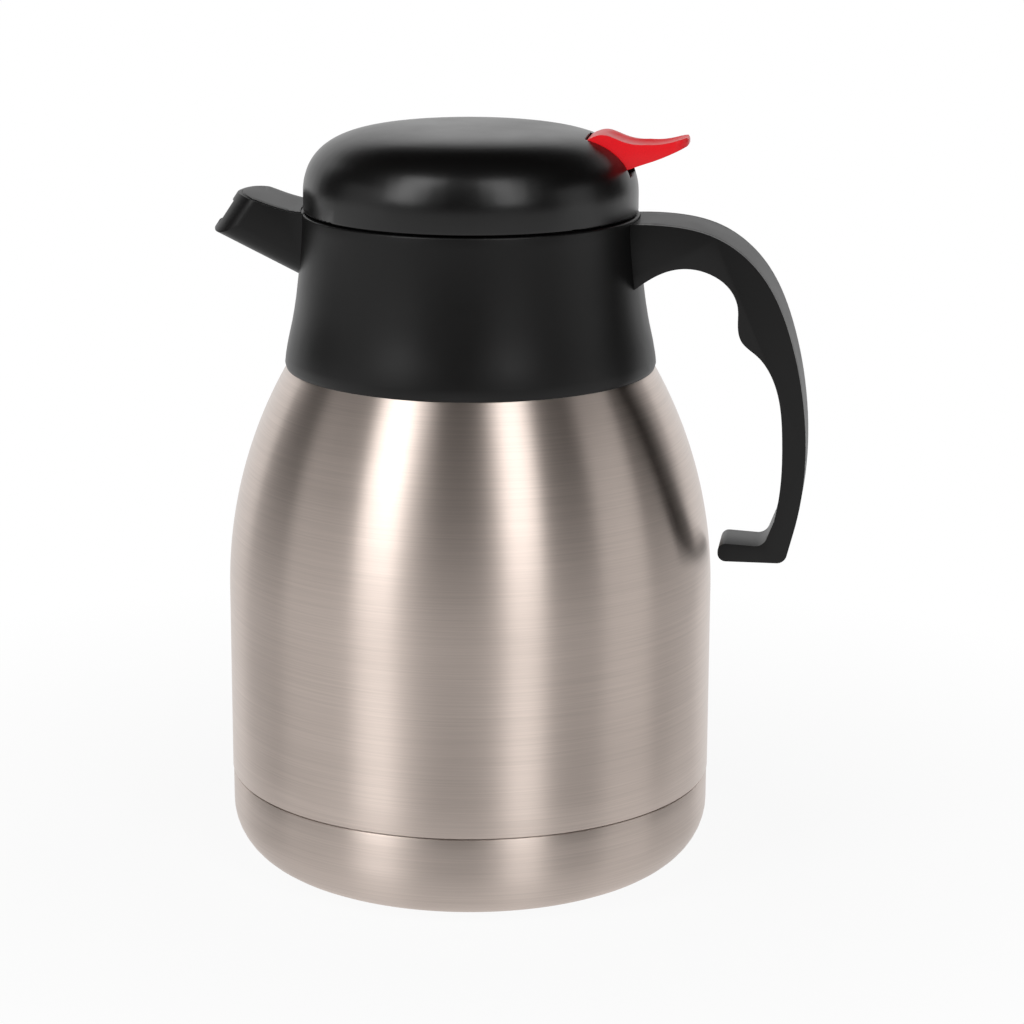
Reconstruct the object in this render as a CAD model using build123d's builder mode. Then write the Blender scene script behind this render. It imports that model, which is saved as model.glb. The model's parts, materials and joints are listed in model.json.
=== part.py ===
from build123d import *
import math
import os

# Double-walled steel jug with a screw-in pouring lid, in millimetres.
# The origin is on the jug's axis at table level. +Z is up, the handle is on +X, the spout on -X.

# Longer than the object is anywhere, for cuts that go right through
reach = 250.0

# Steel body
body_radius = 71.0
base_step = 0.2
base_corner_radius = 17.0
foot_width = 6.8
foot_recess = 2.5
recess_slope = 1.5
pad_gap = 0.3
seam_height = 27.0
seam_gap = 0.35
straight_wall_top = 82.0
shoulder_top = 151.0
shoulder_top_radius = 51.53
neck_radius = 37.0
neck_bottom = 153.2
neck_rim = 162.0
neck_bead_height = 157.5
neck_bead_rise = 0.9
neck_bead_width = 3.0
shell_wall = 0.6
spigot_length = 10.0
weld_gap = 0.05
press_gap = 0.1

# Floor of the vacuum space
floor_height = 12.0
floor_slope_width = 11.45
floor_skirt_bottom = 18.0
floor_skirt_top = 23.0
dimple_depth = 1.4
dimple_radius = 4.5
dimple_slope = 1.5
seal_hole_radius = 1.0
seal_bead_radius = 4.0
seal_bead_height = 1.3

# Inner bottle
bottle_wall = 0.5
bottle_inset = 6.0
bottle_bottom = 18.0
bottle_corner_radius = 12.0
bottle_shoulder_top = 146.0
bottle_neck_bottom = 148.5
neck_gap = 0.5
getter_radius = 9.0
getter_height = 2.5
getter_offset = 22.0

# Collar
collar_base = 148.0
collar_rim = 192.7
collar_foot_step = 0.585
collar_flare = [(1.0, 149.2), (0.887, 153.5), (0.585, 161.0), (0.264, 172.0), (0.0, collar_rim)]
collar_wall = 2.2
collar_edge = 0.15
rim_round = 0.5
chamber_radius = 46.4
chamber_floor = 177.6
web_thickness = 2.0
throat_radius = 38.0
throat_wall = 2.2
throat_top = 179.6
seat_radius = 34.4
seat_thickness = 2.0
skirt_bottom = 154.5
gasket_thickness = 1.1
gasket_inner_radius = 35.5
neck_fit = 0.2
ring_ledge_width = 1.5
ring_ledge_height = 1.5

# Screw thread between the stopper and the collar
thread_starts = 3
thread_lead = 18.0
thread_height = 2.0
thread_overlap = 1.6
thread_clearance = 0.5
thread_axial_gap = 0.45
female_arc = 100.0
male_arc = 36.0
thread_top_gap = 0.3
ridge_root = 0.4
female_turn = 60.0
male_lag = 32.0

# Spout, whose side view is measured from the collar's rim
spout_half_width = 13.2
spout_corner_radius = 6.5
spout_wall = 2.3
spout_back_height = 192.9
spout_rise = [(3.4, 193.4), (9.4, 195.1), (14.9, 196.8), (19.5, 197.0)]
spout_overlap = 4.6
lip_corner = (26.2, 186.9)
root_corner = (2.6, 175.5)
spout_nose_radius = 16.0
spout_nose_corner = 4.5
cover_thickness = 2.4
cover_lift = 0.3
cover_set_back = 1.35
mouth_half_width = 6.0
cover_side_wall = 0.8
cover_gap = 0.15

# Handle, whose outline is measured from the collar's rim and its foot from the body
handle_span = 49.5
handle_reach = 27.1
back_outline = [(-2.6, 191.7), (9.7, 191.6), (23.1, 188.5), (35.8, 178.4), (44.2, 161.2), (48.9, 138.5),
                (49.5, 122.0), (46.5, 102.0)]
front_outline = [(-1.1, 172.2), (4.4, 176.2), (9.6, 178.7), (15.2, 179.5), (22.1, 177.8), (27.4, 173.5),
                 (29.4, 168.6), (29.5, 163.3), (30.6, 158.9), (35.0, 154.9), (39.0, 149.6), (41.4, 143.0),
                 (42.8, 130.4), (42.5, 115.2), (41.0, 105.9)]
foot_outline = [(21.9, 93.4), (2.5, 93.4), (2.5, 98.9), (15.6, 98.2)]
foot_rounds = [3.0, 2.4, 2.4, 3.5]
handle_root_width = 25.0
handle_foot_width = 16.0
handle_wall = 2.2
root_gap = 0.05
spine_thickness = 2.2
spine_lip = 1.5
spine_gap = 0.2
spine_overlap = 2.6
spine_end = 105.0
hollow_overlap = 15.4
hollow_end = 110.0
screw_height = 184.5
screw_spacing = 14.0
screw_radius = 1.5
screw_head_radius = 2.8
screw_head_height = 1.8
screw_length = 11.0
screw_seat_depth = 0.2
screw_hole_gap = 0.1
screw_head_gap = 0.3
screw_slot = 1.0

# Lid dome
dome_bottom = 193.1
dome_step = 0.4
dome_spring_line = 197.8
dome_rise = 19.2
dome_side_power = 4.5
dome_top_power = 2.3
dome_wall = 2.2
dome_points = 9
dome_edge_round = 0.8
slot_gap = 0.3
slot_bottom = 204.4
snap_bead = 0.6
snap_bead_height = 0.7
ledge_depth = 1.2
ledge_height = 1.4
key_width = 3.6
key_count = 3
key_turn = 90.0

# Stopper
deck_bottom = 193.9
deck_thickness = 2.2
deck_fit = 0.2
deck_skirt_gap = 1.3
deck_skirt_wall = 1.8
deck_skirt_bottom = 190.4
stopper_bore = 31.2
stopper_bottom = 156.0
plug_radius = 33.4
window_count = 6
window_width = 22.0
window_bottom = 181.0
window_top = 190.4
seal_fit = 0.1
seal_thickness = 1.5
seal_bead = 0.5

# Valve
base_thickness = 2.6
base_ring_wall = 2.0
base_ring_height = 4.0
seat_hole_radius = 11.5
seat_lip_wall = 1.5
seat_lip_height = 2.0
valve_seal_radius = 15.0
valve_seal_thickness = 1.6
valve_plate_radius = 15.6
valve_plate_thickness = 1.9
valve_hub_radius = 4.0
valve_hub_height = 3.5
stem_radius = 3.0
stem_top = 207.2
retainer_radius = 6.0
retainer_height = 2.4
running_fit = 0.05
guide_radius = 6.5
guide_bottom = 189.0
guide_top = 199.0
stem_seal_radius = 5.0
stem_seal_height = 2.0
spring_seat_radius = 6.2
spring_seat_gap = 0.3
spring_seat_thickness = 0.8
spring_radius = 5.2
spring_wire = 1.0
spring_turns = 7
clip_height = 205.7
clip_thickness = 1.0
clip_radius = 6.0
clip_groove = 0.5
stem_chamfer = 0.3

# Lever, whose outlines are measured from its pin
pin_inset = 10.2
pin_z = 204.5
pin_radius = 1.5
pin_half_length = 9.2
ear_radius = 3.5
ear_inner = 6.8
ear_thickness = 2.5
ear_clearance = 0.7
hub_half_width = 6.5
fork_gap = 0.3
fork_radius = 3.0
fork_slot_half_width = 3.6
fork_slot_length = 12.0
lever_half_width = 7.2
lever_tip_half_width = 5.4
lever_shoulder = 9.0
top_outline = [(-4.2, 10.0), (-1.9, 11.3), (0.6, 11.8), (3.2, 11.2), (6.6, 9.9), (11.0, 9.2), (15.5, 9.6),
               (20.0, 10.5), (23.2, 11.2)]
tip_outline = (24.7, 10.3)
under_outline = [(23.7, 8.4), (20.2, 6.7), (15.4, 4.7), (11.5, 3.4), (9.0, 2.5)]
heel_outline = [(5.0, 1.1), (-3.8, 1.9)]
lever_tip_round = 4.5
dish_reach = 13.5
dish_radius = 24.0
dish_depth = 0.9

os.makedirs("parts", exist_ok=True)
screw_points = [(-screw_spacing / 2, screw_height), (screw_spacing / 2, screw_height)]

# The shoulder's arc leaves the straight wall smoothly and ends under the collar
base_radius = body_radius - base_step
foot_inner_radius = base_radius - base_corner_radius - foot_width
shoulder_drop = body_radius - shoulder_top_radius
shoulder_radius = (shoulder_drop**2 + (shoulder_top - straight_wall_top) ** 2) / (2 * shoulder_drop)


def shoulder_point(height, inset=0.0):
    """Point of the steel shoulder at a height, moved in from the outer face by the inset."""
    along = math.sqrt((shoulder_radius - inset) ** 2 - (height - straight_wall_top) ** 2)
    return (body_radius - shoulder_radius + along, height)


def shoulder_arc(bottom, top, inset=0.0):
    """Arc along the steel shoulder between two heights."""
    return ThreePointArc(
        shoulder_point(bottom, inset),
        shoulder_point((bottom + top) / 2, inset),
        shoulder_point(top, inset),
    )


def from_axis(points, start, stretch=1.0):
    """Side view points with x measured from the start, stretched sideways and placed in the jug's frame."""
    return [(start + stretch * x, z) for x, z in points]


def from_pin(points):
    """Side view points measured from the lever's pin, placed in the jug's frame."""
    return [(pin_x + x, pin_z + z) for x, z in points]


def shifted(points, distance):
    """Points moved sideways, to the right of the way they run, by the distance."""
    moved = []
    for index, point in enumerate(points):
        before = Vector(*points[max(index - 1, 0)])
        after = Vector(*points[min(index + 1, len(points) - 1)])
        along = (after - before).normalized()
        moved.append((point[0] + along.Y * distance, point[1] - along.X * distance))
    return moved


def mirrored_left(points):
    """Side view points given with x as a distance, placed on the spout's side."""
    return [(-x, z) for x, z in points]


# The collar runs from the shoulder up to the chamber's wall, and spout, handle and dome follow its rim
rim_radius = chamber_radius + collar_wall
collar_spread = shoulder_point(collar_base)[0] + collar_foot_step - rim_radius
collar_profile = from_axis(collar_flare, rim_radius, collar_spread)
spout_top_edge = from_axis([(-spout_overlap, spout_back_height), *spout_rise], rim_radius)
spout_root, spout_lip = from_axis([root_corner, lip_corner], rim_radius)
handle_stretch = (body_radius + handle_reach - rim_radius) / handle_span
handle_back = from_axis(back_outline, rim_radius, handle_stretch)
handle_front = from_axis(front_outline, rim_radius, handle_stretch)
foot_corners = from_axis(foot_outline, body_radius)
hollow_start = rim_radius + hollow_overlap
screw_seat = chamber_radius + screw_seat_depth
dome_radius = rim_radius - dome_step

# Outer wall of the body: one pressed sheet with a spigot below the seam and a beaded neck
spigot_radius = base_radius - shell_wall - press_gap
spigot_bottom = seam_height - spigot_length
with BuildPart() as outer_shell:
    with BuildSketch(Plane.XZ):
        with BuildLine():
            Polyline(
                (spigot_radius, spigot_bottom),
                (spigot_radius, seam_height - seam_gap / 2),
                (body_radius, seam_height + seam_gap / 2),
                (body_radius, straight_wall_top),
            )
            shoulder_arc(straight_wall_top, shoulder_top)
            Polyline(
                shoulder_point(shoulder_top),
                (neck_radius, neck_bottom),
                (neck_radius, neck_bead_height - neck_bead_width / 2),
            )
            ThreePointArc(
                (neck_radius, neck_bead_height - neck_bead_width / 2),
                (neck_radius + neck_bead_rise, neck_bead_height),
                (neck_radius, neck_bead_height + neck_bead_width / 2),
            )
            Line((neck_radius, neck_bead_height + neck_bead_width / 2), (neck_radius, neck_rim))
            offset(amount=shell_wall, side=Side.LEFT, kind=Kind.INTERSECTION, mode=Mode.ADD)
        make_face()
    revolve(axis=Axis.Z)

# Base cup: bottom of the body, pressed over the spigot up to the seam
with BuildPart() as base_cup:
    with BuildSketch(Plane.XZ):
        with BuildLine():
            Polyline(
                (0, foot_recess),
                (foot_inner_radius - recess_slope, foot_recess),
                (foot_inner_radius, 0),
                (base_radius - base_corner_radius, 0),
            )
            RadiusArc(
                (base_radius - base_corner_radius, 0), (base_radius, base_corner_radius), -base_corner_radius
            )
            Line((base_radius, base_corner_radius), (base_radius, seam_height - seam_gap / 2))
            offset(amount=shell_wall, side=Side.LEFT, kind=Kind.INTERSECTION, mode=Mode.ADD)
        make_face()
    revolve(axis=Axis.Z)

# Pad in the recess of the base, flush with the foot ring
with BuildPart() as base_pad:
    with BuildSketch():
        Circle(foot_inner_radius - recess_slope - pad_gap)
    extrude(amount=foot_recess)

# Floor of the vacuum space, welded inside the spigot, with the dimple of the evacuation hole
floor_skirt_radius = spigot_radius - shell_wall - weld_gap
with BuildPart() as shell_floor:
    with BuildSketch(Plane.XZ):
        with BuildLine():
            Polyline(
                (seal_hole_radius, floor_height + dimple_depth),
                (dimple_radius, floor_height + dimple_depth),
                (dimple_radius + dimple_slope, floor_height),
                (floor_skirt_radius - floor_slope_width, floor_height),
                (floor_skirt_radius, floor_skirt_bottom),
                (floor_skirt_radius, floor_skirt_top),
            )
            offset(amount=shell_wall, side=Side.LEFT, kind=Kind.INTERSECTION, mode=Mode.ADD)
        make_face()
    revolve(axis=Axis.Z)

# Bead that closes the evacuation hole from below
with BuildPart() as vacuum_seal_bead:
    with BuildSketch(Plane.XY.offset(floor_height + dimple_depth)):
        Circle(seal_bead_radius)
    extrude(amount=-seal_bead_height)
    fillet(vacuum_seal_bead.edges().sort_by(Axis.Z)[0], seal_bead_height / 2)

# Inner bottle, whose lip lies on the outer wall's rim
bottle_radius = body_radius - bottle_inset
bottle_neck_radius = neck_radius - shell_wall - neck_gap
with BuildPart() as inner_bottle:
    with BuildSketch(Plane.XZ):
        with BuildLine():
            Line((0, bottle_bottom), (bottle_radius - bottle_corner_radius, bottle_bottom))
            RadiusArc(
                (bottle_radius - bottle_corner_radius, bottle_bottom),
                (bottle_radius, bottle_bottom + bottle_corner_radius),
                -bottle_corner_radius,
            )
            Line((bottle_radius, bottle_bottom + bottle_corner_radius), (bottle_radius, straight_wall_top))
            shoulder_arc(straight_wall_top, bottle_shoulder_top, bottle_inset)
            Polyline(
                shoulder_point(bottle_shoulder_top, bottle_inset),
                (bottle_neck_radius, bottle_neck_bottom),
                (bottle_neck_radius, neck_rim),
                (neck_radius, neck_rim),
            )
            inner_radius = bottle_radius - bottle_wall
            Polyline(
                (neck_radius, neck_rim),
                (neck_radius, neck_rim + bottle_wall),
                (bottle_neck_radius - bottle_wall, neck_rim + bottle_wall),
                (bottle_neck_radius - bottle_wall, bottle_neck_bottom - bottle_wall),
                shoulder_point(bottle_shoulder_top - bottle_wall, bottle_inset + bottle_wall),
            )
            shoulder_arc(straight_wall_top, bottle_shoulder_top - bottle_wall, bottle_inset + bottle_wall)
            Line((inner_radius, straight_wall_top), (inner_radius, bottle_bottom + bottle_corner_radius))
            RadiusArc(
                (inner_radius, bottle_bottom + bottle_corner_radius),
                (bottle_radius - bottle_corner_radius, bottle_bottom + bottle_wall),
                bottle_corner_radius - bottle_wall,
            )
            Polyline(
                (bottle_radius - bottle_corner_radius, bottle_bottom + bottle_wall),
                (0, bottle_bottom + bottle_wall),
                (0, bottle_bottom),
            )
        make_face()
    revolve(axis=Axis.Z)

# Getter pill under the bottle
with BuildPart() as getter:
    with BuildSketch(Plane.XY.offset(bottle_bottom)):
        with Locations((getter_offset, 0)):
            Circle(getter_radius)
    extrude(amount=-getter_height)


female_middle = throat_top - thread_top_gap - thread_height / 2 - thread_lead * female_arc / 720


def thread_ridge(arc, crest_radius, root_radius, middle_height, middle_angle):
    """Helical ridge of the lid's thread, from its root to its crest, about the jug's axis."""
    mean_radius = (crest_radius + root_radius) / 2
    rise = thread_lead * arc / 360
    with BuildPart(mode=Mode.PRIVATE) as ridge:
        with BuildLine() as path:
            Helix(pitch=thread_lead, height=rise, radius=mean_radius)
        with BuildSketch(Plane(origin=path.line @ 0, z_dir=path.line % 0, x_dir=(1, 0, 0))):
            Rectangle(abs(crest_radius - root_radius), thread_height)
        sweep(is_frenet=True)
    return ridge.part.moved(Location((0, 0, middle_height - rise / 2), (0, 0, middle_angle - arc / 2)))


# The spout's nose is the front end of its top edge. From there its front leans out to the lip.
spout_back = spout_top_edge[0][0]
spout_nose = spout_top_edge[-1]
spout_front_lean = (spout_lip[0] - spout_nose[0], spout_lip[1] - spout_nose[1])
spout_length = spout_lip[0] - spout_back
spout_slope = (spout_lip[1] - spout_root[1]) / (spout_lip[0] - spout_root[0])
spout_ceiling = spout_nose[1] + spout_length


def trough(inset):
    """Bar of the spout's section, round below, narrower by the inset on each side and at the bottom."""
    low = spout_root[1] - spout_slope * (spout_root[0] - spout_back) + inset
    with BuildPart(mode=Mode.PRIVATE) as bar:
        with BuildSketch(Plane.YZ.offset(-spout_back)):
            with Locations((0, (low + spout_ceiling) / 2)):
                RectangleRounded(
                    2 * (spout_half_width - inset), spout_ceiling - low, spout_corner_radius - inset
                )
        extrude(amount=2 * spout_length, dir=(-1, 0, spout_slope))
    return bar.part


def nose_prism(set_back):
    """Prism with the spout's outline from above, which leans out downwards from its nose."""
    nose = spout_nose[0] - set_back
    corner = nose - spout_nose_radius + math.sqrt(spout_nose_radius**2 - spout_half_width**2)
    with BuildPart(mode=Mode.PRIVATE) as prism:
        with BuildSketch(Plane.XY.offset(spout_nose[1])):
            with BuildLine():
                ThreePointArc((-corner, spout_half_width), (-nose, 0), (-corner, -spout_half_width))
                Polyline(
                    (-corner, -spout_half_width),
                    (0, -spout_half_width),
                    (0, spout_half_width),
                    (-corner, spout_half_width),
                )
            make_face()
            fillet(vertices().sort_by(Axis.X)[:2], spout_nose_corner)
        extrude(amount=spout_length, dir=(-spout_front_lean[0], 0, spout_front_lean[1]), both=True)
    return prism.part


def side_view_band(lift, thickness):
    """Side view face along the spout's top edge, raised by the lift, with its thickness below that."""
    upper = [(x, z + lift) for x, z in spout_top_edge]
    end = (spout_nose[0] + spout_length, spout_nose[1] + lift)
    with BuildLine() as outline:
        Spline(*mirrored_left(upper))
        Polyline(
            *mirrored_left([upper[-1], end, (end[0], end[1] - thickness), (upper[-1][0], end[1] - thickness)])
        )
        Spline(*mirrored_left([(x, z - thickness) for x, z in reversed(upper)]))
        Line(*mirrored_left([(upper[0][0], upper[0][1] - thickness), upper[0]]))
    make_face(outline.edges())


# Space for the liquid inside the spout, under the cover: as wide as the walls leave it behind the bow, and
# through the bow as wide as the mouth
cover_underside = [(x, z + cover_lift - cover_thickness) for x, z in spout_top_edge]
with BuildPart() as channel:
    with BuildSketch(Plane.XZ):
        with BuildLine():
            Spline(*mirrored_left(cover_underside))
            Polyline(
                *mirrored_left(
                    [
                        cover_underside[-1],
                        (spout_lip[0] + spout_length, cover_underside[-1][1]),
                        (spout_lip[0] + spout_length, chamber_floor),
                        (spout_back, chamber_floor),
                        cover_underside[0],
                    ]
                )
            )
        make_face()
    extrude(amount=spout_half_width, both=True)
    add(trough(spout_wall), mode=Mode.INTERSECT)
    with BuildPart(mode=Mode.INTERSECT):
        add(nose_prism(spout_wall))
        with BuildSketch(Plane.XZ):
            with Locations((-spout_back - spout_length, chamber_floor + spout_length)):
                Rectangle(2 * spout_length, 2 * spout_length)
        extrude(amount=mouth_half_width, both=True)

# Rebate along the top of the spout, in which the cover lies
with BuildPart() as rebate:
    with BuildSketch(Plane.XZ):
        side_view_band(cover_lift + spout_length, spout_length + cover_thickness)
    extrude(amount=spout_half_width, both=True)
    add(trough(cover_side_wall), mode=Mode.INTERSECT)
    add(nose_prism(cover_set_back - cover_gap), mode=Mode.INTERSECT)
    with BuildSketch(Plane.XY.offset(collar_base)):
        Circle(rim_radius + cover_gap)
    extrude(amount=spout_ceiling, mode=Mode.SUBTRACT)

# Collar: outer wall with the spout's trough, and a ledge inside that carries the neck ring
throat_outer = throat_radius + throat_wall
gasket_bottom = neck_rim + bottle_wall
flange_bottom = gasket_bottom + gasket_thickness
seat_height = flange_bottom + seat_thickness
skirt_radius = neck_radius + neck_fit
groove_radius = skirt_radius + neck_bead_rise
groove_half = neck_bead_width / 2 + neck_fit
tube_radius = throat_radius - thread_clearance - thread_overlap - thread_clearance
ledge_top = chamber_floor - web_thickness
with BuildPart() as collar:
    with BuildSketch(Plane.XZ):
        side_view_band(0.0, spout_length)
    extrude(amount=spout_half_width, both=True)
    add(trough(0.0), mode=Mode.INTERSECT)
    add(nose_prism(0.0), mode=Mode.INTERSECT)
    with BuildSketch(Plane.XY.offset(collar_base)):
        Circle(chamber_radius + collar_wall / 2)
    extrude(amount=spout_ceiling, mode=Mode.SUBTRACT)
    with BuildSketch(Plane.XZ):
        with BuildLine():
            shoulder_arc(collar_base, shoulder_top, -press_gap)
            Polyline(
                shoulder_point(shoulder_top, -press_gap),
                (chamber_radius + collar_wall / 2, ledge_top - 2 * ring_ledge_height),
                (chamber_radius - ring_ledge_width, ledge_top - ring_ledge_height),
                (chamber_radius - ring_ledge_width, ledge_top),
                (chamber_radius, ledge_top),
                (chamber_radius, collar_rim),
                collar_profile[-1],
            )
            Spline(*collar_profile)
            Line(collar_profile[0], (shoulder_point(collar_base)[0] + press_gap + collar_edge, collar_base))
            Line(
                (shoulder_point(collar_base)[0] + press_gap + collar_edge, collar_base),
                shoulder_point(collar_base, -press_gap),
            )
        make_face()
    revolve(axis=Axis.Z)
    add(channel.part, mode=Mode.SUBTRACT)
    add(rebate.part, mode=Mode.SUBTRACT)
    with BuildSketch(Plane.YZ.offset(screw_seat)):
        with Locations(*screw_points):
            Circle(screw_radius + screw_hole_gap)
    extrude(amount=collar_wall * 2, mode=Mode.SUBTRACT)
    with BuildSketch(Plane.YZ.offset(screw_seat)):
        with Locations(*screw_points):
            Circle(screw_head_radius + screw_head_gap)
    extrude(amount=-screw_head_height * 2, mode=Mode.SUBTRACT)
    round_edges = collar.edges().filter_by(GeomType.CIRCLE)
    rim_edges = round_edges.filter_by_position(Axis.Z, collar_rim - weld_gap, collar_rim + weld_gap)
    fillet(rim_edges.sort_by(SortBy.RADIUS)[-1], rim_round)

# Neck ring: snapped over the bottle's neck, with the lid's thread, the seal's seat and the chamber's floor
with BuildPart() as neck_ring:
    with BuildSketch(Plane.XZ):
        with BuildLine():
            Polyline(
                (throat_outer, ledge_top),
                (throat_outer, skirt_bottom),
                (skirt_radius, skirt_bottom),
                (skirt_radius, neck_bead_height - groove_half),
                (groove_radius, neck_bead_height - groove_half + neck_fit),
                (groove_radius, neck_bead_height + groove_half - neck_fit),
                (skirt_radius, neck_bead_height + groove_half),
                (skirt_radius, flange_bottom),
                (seat_radius, flange_bottom),
                (seat_radius, seat_height),
                (throat_radius, seat_height),
                (throat_radius, throat_top),
                (throat_outer, throat_top),
                (throat_outer, chamber_floor),
                (chamber_radius - weld_gap, chamber_floor),
                (chamber_radius - weld_gap, ledge_top),
                close=True,
            )
        make_face()
    revolve(axis=Axis.Z)
    with PolarLocations(0, thread_starts):
        add(
            thread_ridge(
                female_arc,
                tube_radius + thread_clearance,
                throat_radius + ridge_root,
                female_middle,
                female_turn,
            )
        )

# Cover let into the top of the spout, round the foot of the lid's dome
with BuildPart() as spout_cover:
    with BuildSketch(Plane.XZ):
        side_view_band(cover_lift, cover_thickness)
    extrude(amount=spout_half_width, both=True)
    add(trough(cover_side_wall + cover_gap), mode=Mode.INTERSECT)
    add(nose_prism(cover_set_back), mode=Mode.INTERSECT)
    with BuildSketch(Plane.XY.offset(collar_base)):
        Circle(rim_radius + 2 * cover_gap)
    extrude(amount=spout_ceiling, mode=Mode.SUBTRACT)

# Gasket between the bottle's rim and the collar
with BuildPart() as collar_gasket:
    with BuildSketch(Plane.XY.offset(gasket_bottom)):
        Circle(skirt_radius - weld_gap)
        Circle(gasket_inner_radius, mode=Mode.SUBTRACT)
    extrude(amount=gasket_thickness)


def collar_envelope(gap):
    """Solid of everything inside the collar's outer face, wider by the gap."""
    outline = [(r + gap, z) for r, z in collar_profile]
    with BuildPart(mode=Mode.PRIVATE) as envelope:
        with BuildSketch(Plane.XZ):
            with BuildLine():
                Spline(*outline)
                Polyline(outline[-1], (0, outline[-1][1]), (0, outline[0][1]), outline[0])
            make_face()
        revolve(axis=Axis.Z)
    return envelope.part


def handle_front_view(inset):
    """Face of the handle seen from its back: wide at the root, narrow at the foot."""
    top = handle_back[0][1] + handle_wall
    bottom = foot_corners[0][1] - handle_wall
    root = handle_root_width / 2 - inset
    foot = handle_foot_width / 2 - inset
    with BuildLine() as outline:
        Polyline((-root, top), (root, top), (foot, bottom), (-foot, bottom), close=True)
    make_face(outline.edges())


def between_splines(back, front):
    """Side view face between two curves that run from the handle's root to its foot."""
    with BuildLine() as outline:
        Spline(*back)
        Line(back[-1], front[-1])
        Spline(*front)
        Line(front[0], back[0])
    make_face(outline.edges())


# Groove along the handle's back for the spine cover, and the hollow under it
with BuildPart() as spine_groove:
    with BuildSketch(Plane.XZ):
        between_splines(shifted(handle_back, -spine_thickness), shifted(handle_back, spine_thickness))
        with Locations((rim_radius - spine_overlap, spine_end)):
            Rectangle(reach, reach, align=Align.MIN, mode=Mode.INTERSECT)
    extrude(amount=handle_root_width, both=True)
    with BuildSketch(Plane.YZ):
        handle_front_view(spine_lip)
    extrude(amount=reach, mode=Mode.INTERSECT)
with BuildPart() as handle_hollow:
    with BuildSketch(Plane.XZ):
        between_splines(shifted(handle_back, spine_thickness / 2), shifted(handle_front, -handle_wall))
        with Locations((hollow_start, hollow_end)):
            Rectangle(reach, reach, align=Align.MIN, mode=Mode.INTERSECT)
    extrude(amount=handle_root_width, both=True)
    with BuildSketch(Plane.YZ):
        handle_front_view(handle_wall)
    extrude(amount=reach, mode=Mode.INTERSECT)

# Handle grip: screwed to the collar, open along its back, with a free foot
with BuildPart() as handle_grip:
    with BuildSketch(Plane.XZ):
        with BuildLine():
            Spline(*handle_back)
            FilletPolyline(handle_back[-1], *foot_corners, handle_front[-1], radius=foot_rounds)
            Spline(*handle_front)
            Line(handle_front[0], handle_back[0])
        make_face()
    extrude(amount=handle_root_width, both=True)
    with BuildSketch(Plane.YZ):
        handle_front_view(0.0)
    extrude(amount=reach, mode=Mode.INTERSECT)
    add(collar_envelope(root_gap), mode=Mode.SUBTRACT)
    add(spine_groove.part, mode=Mode.SUBTRACT)
    add(handle_hollow.part, mode=Mode.SUBTRACT)
    with BuildSketch(Plane.YZ.offset(screw_seat)):
        with Locations(*screw_points):
            Circle(screw_radius + running_fit)
    extrude(amount=screw_length + screw_head_gap, mode=Mode.SUBTRACT)

# Spine cover in the handle's back
with BuildPart() as handle_spine_cover:
    with BuildSketch(Plane.XZ):
        between_splines(handle_back, shifted(handle_back, spine_thickness - weld_gap))
        with Locations((rim_radius - spine_overlap, spine_end + spine_gap)):
            Rectangle(reach, reach, align=Align.MIN, mode=Mode.INTERSECT)
    extrude(amount=handle_root_width, both=True)
    with BuildSketch(Plane.YZ):
        handle_front_view(spine_lip + spine_gap)
    extrude(amount=reach, mode=Mode.INTERSECT)
    add(collar_envelope(spine_gap), mode=Mode.SUBTRACT)

# Two screws from inside the collar into the handle
with BuildPart() as handle_screws:
    with BuildSketch(Plane.YZ.offset(screw_seat)):
        with Locations(*screw_points):
            Circle(screw_radius)
    extrude(amount=screw_length)
    with BuildSketch(Plane.YZ.offset(screw_seat)):
        with Locations(*screw_points):
            Circle(screw_head_radius)
    extrude(amount=-screw_head_height)
    with BuildSketch(Plane.YZ.offset(screw_seat - screw_head_height)):
        with Locations(*screw_points):
            Rectangle(2 * screw_radius, screw_slot)
            Rectangle(screw_slot, 2 * screw_radius)
    extrude(amount=screw_head_height / 2, mode=Mode.SUBTRACT)


def dome_curve(inset):
    """Points up the dome's side, from its spring line to its top, moved inwards by the inset."""
    points = []
    for step in range(dome_points):
        angle = math.pi / 2 * step / (dome_points - 1)
        radius = (dome_radius - inset) * max(math.cos(angle), 0.0) ** (2 / dome_side_power)
        height = (dome_rise - inset) * math.sin(angle) ** (2 / dome_top_power)
        points.append((radius, dome_spring_line + height))
    points[-1] = (0, points[-1][1])
    return points


# The lever turns near the dome's back edge
pin_x = dome_radius - pin_inset
lever_top = from_pin(top_outline)
lever_tip = pin_x + tip_outline[0]
lever_underside = from_pin(under_outline)

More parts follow.
